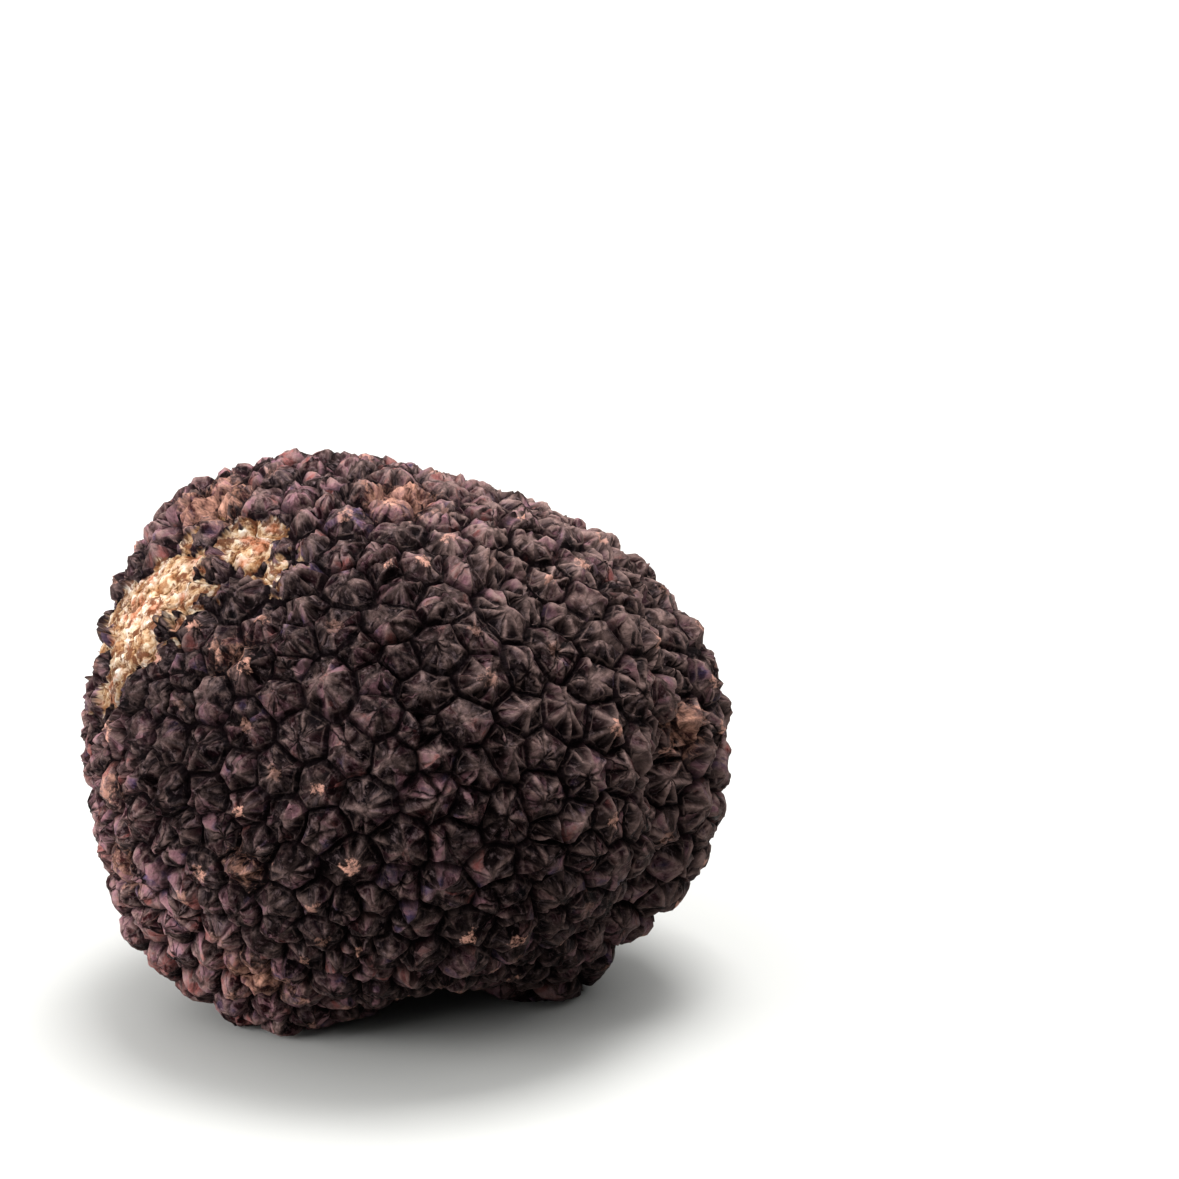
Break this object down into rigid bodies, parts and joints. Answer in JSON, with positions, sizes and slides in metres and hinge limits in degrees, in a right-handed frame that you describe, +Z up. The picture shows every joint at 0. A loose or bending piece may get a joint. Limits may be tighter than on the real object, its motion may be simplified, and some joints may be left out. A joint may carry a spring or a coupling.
{
  "type": "black truffle",
  "caption": "Whole lumpy black truffle covered in close-set polygonal pyramid warts, with worn patches of bare flesh, resting on blunt low points.",
  "frame": {"origin": "on the surface that the truffle rests on, under the middle of its outline seen from above", "axes": "+X along its longest way, towards the narrower right end; +Z up; -Y is the front, the side with the larger worn patch at its left"},
  "size_m": [0.0682, 0.063, 0.0584],
  "materials": {
    "peridium": "matte"
  },
  "bodies": {
    "root": {"truffle": "peridium"}
  },
  "joints": []
}
